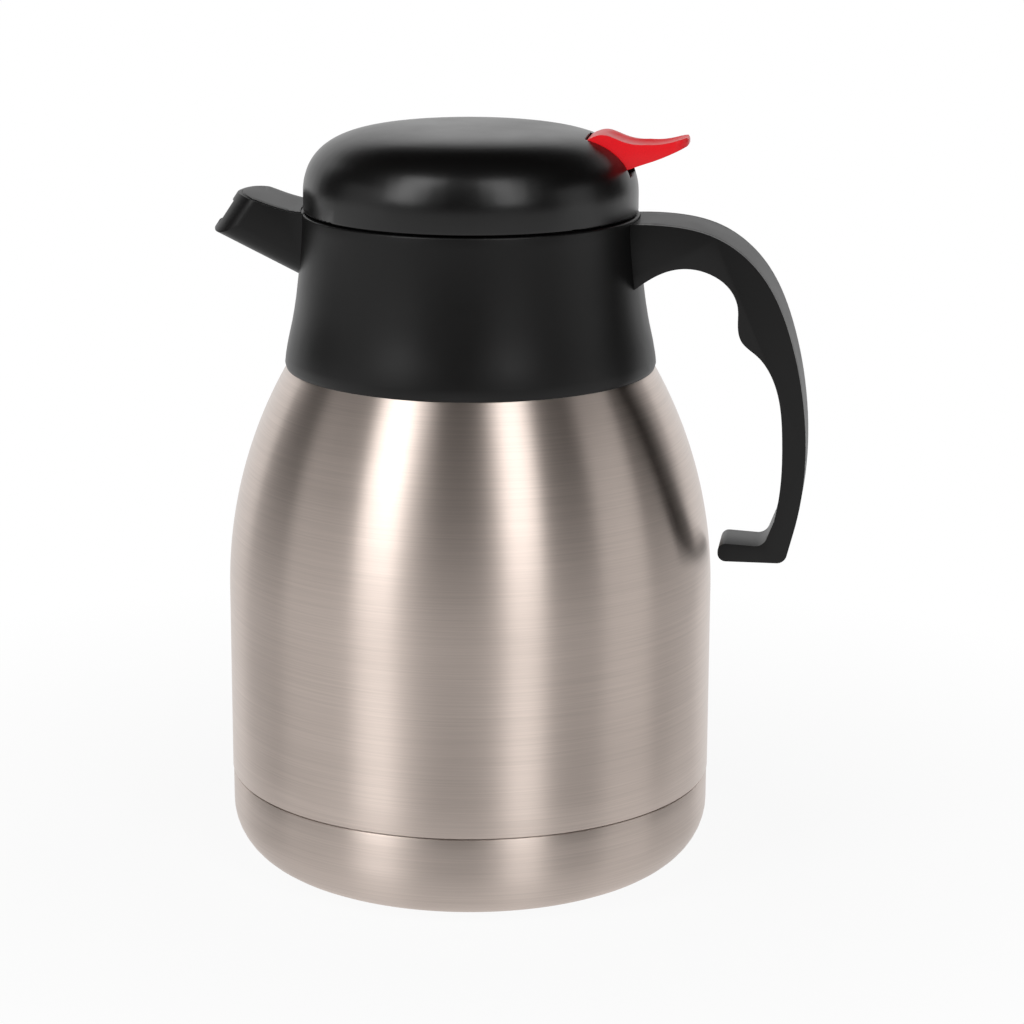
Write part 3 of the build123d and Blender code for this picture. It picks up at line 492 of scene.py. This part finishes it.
class JUG_OT_steel_body(Operator):
    """Steel body above the seam, with its curved shoulder and its neck"""

    bl_idname = "jug.steel_body"
    bl_label = "Steel body"

    def execute(self, context):
        sizes = context.scene.jug_sizes
        colours = context.scene.jug_colours
        seam = sizes.seam_height + sizes.seam_width / 2
        line = scaled(BODY_SLEEVE)
        line += [(sizes.body_radius - inwards, seam + upwards) for inwards, upwards in scaled(BODY_EDGE)]
        for step in range(1, WALL_STEPS):
            line.append((sizes.body_radius, seam + (sizes.straight_top - seam) * step / WALL_STEPS))
        line += shoulder_line(sizes)
        shoulder_end = (line[-1][0] / MM, line[-1][1] / MM, 0)
        line += scaled(rounded([shoulder_end] + BODY_NECK)[1:])
        piece = turned("steel_body", sheet_outline(line, BODY_WALL))
        smooth(piece, TURNED_SMOOTH_ANGLE)
        unwrap_around(piece)
        dress(piece, brushed_steel("steel body finish", colours.steel, 0.38))
        set_out(piece, "jug", "outer_shell")
        return {"FINISHED"}


class JUG_OT_base_band(Operator):
    """Steel cup below the seam, with its round lower edge and foot ring"""

    bl_idname = "jug.base_band"
    bl_label = "Base band"

    def execute(self, context):
        sizes = context.scene.jug_sizes
        colours = context.scene.jug_colours
        radius = sizes.base_radius
        corner = sizes.base_corner
        seam = sizes.seam_height - sizes.seam_width / 2
        line = scaled(BASE_FLOOR)
        for step in range(CORNER_STEPS + 1):
            angle = math.pi / 2 * step / CORNER_STEPS
            line.append((radius - corner + corner * math.sin(angle), corner - corner * math.cos(angle)))
        line += [(radius - inwards, seam - downwards) for inwards, downwards in scaled(BASE_EDGE)]
        piece = turned("base_band", sheet_outline(line, BASE_WALL))
        smooth(piece, TURNED_SMOOTH_ANGLE)
        unwrap_around(piece)
        dress(piece, brushed_steel("base band finish", shade_of(colours.steel, 0.97), 0.4))
        set_out(piece, "jug", "base_cup")
        return {"FINISHED"}


class JUG_OT_collar(Operator):
    """Black collar with the spout's trough, and the cover let into the spout"""

    bl_idname = "jug.collar"
    bl_label = "Collar and spout"

    def execute(self, context):
        colours = context.scene.jug_colours
        collar = finished_copy("collar", "collar_and_spout", edge_round=0.22 * MM)
        dress(collar, moulded_plastic("collar finish", colours.black, 0.40, specular=0.28))
        set_out(collar, "jug", "collar")
        cover = finished_copy("spout_cover", "spout_top_plate", edge_round=0.2 * MM)
        # The plate's black plastic is lightened 1.6 times: painted light for the light that falls on its
        # upward-facing top
        dress(cover, moulded_plastic("spout plate finish with painted light", shade_of(colours.black, 1.6), 0.42))
        set_out(cover, "jug", "spout_cover")
        return {"FINISHED"}


class JUG_OT_handle(Operator):
    """Handle with its finger bump and free foot, and the strip let into its back"""

    bl_idname = "jug.handle"
    bl_label = "Handle"

    def execute(self, context):
        colours = context.scene.jug_colours
        grip = finished_copy("handle_grip", "grip", edge_round=1.1 * MM)
        dress(grip, moulded_plastic("grip finish", colours.black, 0.38, specular=0.28))
        set_out(grip, "jug", "handle_grip")
        strip = finished_copy("handle_spine_cover", "back_strip", edge_round=0.35 * MM)
        dress(strip, moulded_plastic("back strip finish", shade_of(colours.black, 1.5), 0.44))
        set_out(strip, "jug", "handle_spine_cover")
        return {"FINISHED"}


class JUG_OT_lid_dome(Operator):
    """Black dome of the lid, with the opening for the lever"""

    bl_idname = "jug.lid_dome"
    bl_label = "Lid dome"

    def execute(self, context):
        colours = context.scene.jug_colours
        dome = finished_copy("lid_dome", "dome", edge_round=0.25 * MM)
        dress(dome, moulded_plastic("dome finish", colours.black, 0.31, grain=0.22, specular=0.42))
        set_out(dome, "lid", "lid_dome")
        return {"FINISHED"}


class JUG_OT_lever(Operator):
    """Red thumb lever"""

    bl_idname = "jug.lever"
    bl_label = "Thumb lever"

    def execute(self, context):
        colours = context.scene.jug_colours
        lever = finished_copy("lever", "thumb_lever", edge_round=0.5 * MM)
        dress(lever, moulded_plastic("lever finish", colours.red, 0.36, grain=0.03, specular=0.4))
        set_out(lever, "lever", "lever")
        return {"FINISHED"}


class JUG_OT_working_parts(Operator):
    """Finishes of the parts inside the jug and the lid"""

    bl_idname = "jug.working_parts"
    bl_label = "Working parts"

    def execute(self, context):
        colours = context.scene.jug_colours
        finishes = {
            "plain_steel": worn_metal("plain steel", BRIGHT_STEEL, 0.28),
            "seal_solder": worn_metal("solder", SOLDER_GREY, 0.5),
            "black_plastic": moulded_plastic("inner black plastic", colours.black, 0.42),
            "white_plastic": moulded_plastic("white plastic", colours.white, 0.4),
            "silicone": soft_rubber("silicone", colours.seal, 0.5),
            "pad_rubber": soft_rubber("pad rubber", PAD_BLACK, 0.7),
        }
        for row in frame["record"]["subparts"]:
            node = frame["nodes"][row["node"]]
            if node.hide_render:
                continue
            for socket in node.material_slots:
                socket.material = finishes[row["material_slot"]]
        return {"FINISHED"}


def plain_floor(name, size):
    """Level floor of the stage."""
    clear_selection()
    bpy.ops.mesh.primitive_plane_add(size=size, location=(0, 0, 0))
    plane = bpy.context.object
    plane.name = name
    return plane


def seen_rays(tree):
    """Node whose value is 1 for rays that see the background straight on, in metal or through glass."""
    path = tree.nodes.new("ShaderNodeLightPath")
    total = None
    for ray in ("Is Camera Ray", "Is Glossy Ray", "Is Transmission Ray"):
        join = tree.nodes.new("ShaderNodeMath")
        join.operation = "MAXIMUM"
        join.inputs[1].default_value = 0.0
        tree.links.new(path.outputs[ray], join.inputs[0])
        if total is not None:
            tree.links.new(total.outputs[0], join.inputs[1])
        total = join
    return total


def backdrop_finish(name, colour, whiteness, near, far):
    """Matt paint that looks nearly plain white within the near distance, and plain white past the far one."""
    material, shader = new_finish(name, (colour, colour, colour), 0.9)
    shader.inputs["Specular IOR Level"].default_value = 0.0
    paper = stretched_noise(material, (3.0, 3.0, 3.0), detail=2.0)
    tone = spread(material, paper, low=0.0, high=1.0)
    tint(material, shader, tone, (colour,) * 3, (colour * 0.99,) * 3)
    glow = add_node(material, "ShaderNodeEmission", Strength=1.0)
    ray = seen_rays(material.node_tree)
    place = add_node(material, "ShaderNodeTexCoord")
    away = add_node(material, "ShaderNodeVectorMath", operation="LENGTH")
    wire(material, place, "Object", away, 0)
    rise = add_node(material, "ShaderNodeMapRange", From_Min=near, From_Max=far, To_Min=whiteness, To_Max=1.0)
    wire(material, away, "Value", rise, "Value")
    share = add_node(material, "ShaderNodeMath", operation="MULTIPLY")
    wire(material, rise, "Result", share, 1)
    blend = add_node(material, "ShaderNodeMixShader")
    output = material.node_tree.nodes["Material Output"]
    wire(material, ray, 0, share, 0)
    wire(material, share, 0, blend, 0)
    wire(material, shader, "BSDF", blend, 1)
    wire(material, glow, "Emission", blend, 2)
    wire(material, blend, "Shader", output, "Surface")
    return material


def soft_box(name, angle, distance, low, high, width, power):
    """Soft box at an angle round the jug, in degrees, between two heights and turned to the jug's middle."""
    turn = math.radians(angle)
    middle = Vector((math.cos(turn) * distance, math.sin(turn) * distance, (low + high) / 2))
    bpy.ops.object.light_add(type="AREA", location=middle)
    lamp = bpy.context.object
    lamp.name = name
    lamp.data.shape = "RECTANGLE"
    lamp.data.size = width
    lamp.data.size_y = high - low
    lamp.data.energy = power
    aim = Vector((0, 0, LIT_HEIGHT)) - middle
    lamp.rotation_euler = aim.to_track_quat("-Z", "Y").to_euler()
    lamp.visible_camera = False


def dark_studio(radius, height, opening, front):
    """Black cloth round the front and sides and overhead, with the opening, in degrees, behind the jug."""
    clear_selection()
    bpy.ops.mesh.primitive_cylinder_add(
        vertices=CLOTH_STEPS, radius=radius, depth=height, location=(0, 0, height / 2)
    )
    cloth = bpy.context.object
    cloth.name = "black cloth"
    bpy.ops.object.mode_set(mode="EDIT")
    bpy.ops.mesh.select_all(action="DESELECT")
    bpy.ops.object.mode_set(mode="OBJECT")
    back = math.radians(front + 180)
    for face in cloth.data.polygons:
        turn = math.remainder(math.atan2(face.center.y, face.center.x) - back, 2 * math.pi)
        behind = abs(face.normal.z) < 0.5 and abs(turn) < math.radians(opening / 2)
        face.select = behind or face.normal.z < -0.5
    bpy.ops.object.mode_set(mode="EDIT")
    bpy.ops.mesh.delete(type="FACE")
    bpy.ops.object.mode_set(mode="OBJECT")
    cloth.visible_camera = False
    return cloth


class JUG_OT_stage(Operator):
    """Pale floor and backdrop, soft boxes, and the camera of the photograph"""

    bl_idname = "jug.stage"
    bl_label = "Stage"

    def execute(self, context):
        stage = context.scene.jug_stage
        front = -90.0 + math.degrees(stage.camera_turn)

        floor = plain_floor("floor", size=14)
        dress(floor, backdrop_finish("floor paint", FLOOR_GREY, whiteness=0.93, near=0.1, far=0.3))

        cloth_finish, cloth_shader = new_finish("cloth", CLOTH_BLACK, 1.0)
        cloth_shader.inputs["Specular IOR Level"].default_value = 0.0
        dress(dark_studio(radius=2.6, height=1.7, opening=100, front=front), cloth_finish)

        soft_box("left soft box", front - 46, distance=1.3, low=0.35, high=1.85, width=0.6, power=14.5)
        soft_box("right soft box", front + 27, distance=1.3, low=0.35, high=1.85, width=0.5, power=11)
        soft_box("left fill", front - 76, distance=1.6, low=0.0, high=0.9, width=1.1, power=2)
        soft_box("right fill", front + 78, distance=1.6, low=0.0, high=0.9, width=0.8, power=2.2)

        world = bpy.data.worlds.new("studio")
        context.scene.world = world
        world.use_nodes = True
        nodes = world.node_tree.nodes
        links = world.node_tree.links
        background = nodes["Background"]
        background.inputs["Color"].default_value = (*ROOM_DARK, 1)
        white = nodes.new("ShaderNodeBackground")
        white.inputs["Color"].default_value = (1, 1, 1, 1)
        blend = nodes.new("ShaderNodeMixShader")
        links.new(seen_rays(world.node_tree).outputs[0], blend.inputs[0])
        links.new(background.outputs[0], blend.inputs[1])
        links.new(white.outputs[0], blend.inputs[2])
        links.new(blend.outputs[0], nodes["World Output"].inputs["Surface"])

        turn = stage.camera_turn
        aim = Euler((math.pi / 2 - stage.camera_tilt, 0, turn)).to_matrix()
        rolled = aim @ Matrix.Rotation(stage.camera_roll, 3, "Z")
        bpy.ops.object.camera_add(
            location=(
                stage.camera_distance * math.sin(turn) + stage.camera_offset * math.cos(turn),
                -stage.camera_distance * math.cos(turn) + stage.camera_offset * math.sin(turn),
                stage.camera_height,
            ),
            rotation=rolled.to_euler(),
        )
        camera = context.object
        camera.name = "camera"
        camera.data.lens = stage.camera_lens
        camera.data.sensor_width = 36
        camera.data.clip_start = 0.01
        camera.data.clip_end = 50
        context.scene.camera = camera
        context.scene.view_settings.view_transform = "Standard"
        return {"FINISHED"}


class JUG_PT_panel(Panel):
    """Lists the jug's operators and values"""

    bl_idname = "JUG_PT_panel"
    bl_label = "Steel jug"
    bl_space_type = "VIEW_3D"
    bl_region_type = "UI"
    bl_category = "Jug"

    def draw(self, context):
        layout = self.layout
        for operator in STEPS:
            layout.operator(operator.bl_idname)
        for group in (context.scene.jug_sizes, context.scene.jug_colours, context.scene.jug_stage):
            box = layout.box()
            for key in group.__annotations__:
                box.prop(group, key)


STEPS = (
    JUG_OT_steel_body,
    JUG_OT_base_band,
    JUG_OT_collar,
    JUG_OT_handle,
    JUG_OT_lid_dome,
    JUG_OT_lever,
    JUG_OT_working_parts,
    JUG_OT_stage,
)
CLASSES = (JugSizes, JugColours, JugStage, *STEPS, JUG_PT_panel)


def register():
    """Registers the classes and the scene's values."""
    for cls in CLASSES:
        bpy.utils.register_class(cls)
    bpy.types.Scene.jug_sizes = PointerProperty(type=JugSizes)
    bpy.types.Scene.jug_colours = PointerProperty(type=JugColours)
    bpy.types.Scene.jug_stage = PointerProperty(type=JugStage)


def unregister():
    """Takes the scene's values and the classes away again."""
    del bpy.types.Scene.jug_stage
    del bpy.types.Scene.jug_colours
    del bpy.types.Scene.jug_sizes
    for cls in reversed(CLASSES):
        bpy.utils.unregister_class(cls)


def main():
    """Builds the jug and its stage."""
    register()
    bpy.ops.jug.steel_body()
    bpy.ops.jug.base_band()
    bpy.ops.jug.collar()
    bpy.ops.jug.handle()
    bpy.ops.jug.lid_dome()
    bpy.ops.jug.lever()
    bpy.ops.jug.working_parts()
    bpy.ops.jug.stage()


if __name__ == "__main__":
    main()
